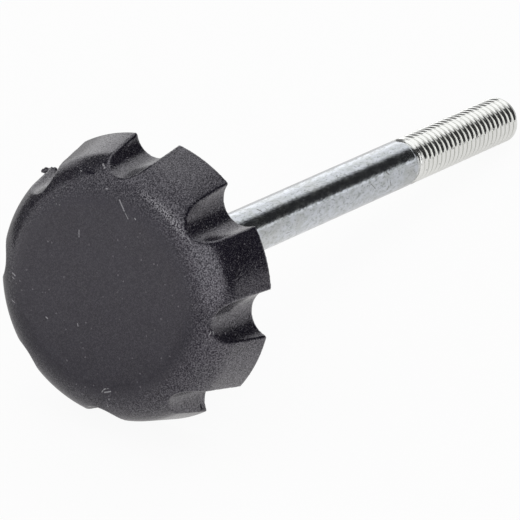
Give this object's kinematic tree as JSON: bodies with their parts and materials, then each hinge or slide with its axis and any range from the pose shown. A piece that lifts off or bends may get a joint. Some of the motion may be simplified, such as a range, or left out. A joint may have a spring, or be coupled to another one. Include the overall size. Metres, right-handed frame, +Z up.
{
  "type": "fluted knob screw",
  "caption": "Fluted plastic hand knob moulded on a long steel bolt with a plain shank and a threaded end.",
  "frame": {"origin": "on the surface it lies on, under the middle of the whole screw's box", "axes": "+X from the knob towards the bolt's tip, along the bolt's run on the surface; +Z up; the bolt's own axis dips 9.79 degrees below +X"},
  "size_m": [0.1274, 0.0464, 0.0457],
  "materials": {
    "black_plastic": "fine matte texture of a glass-filled moulding",
    "zinc_steel": "bright zinc plate, slightly mottled"
  },
  "bodies": {
    "root": {"knob": "black_plastic", "bolt": "zinc_steel"}
  },
  "joints": []
}
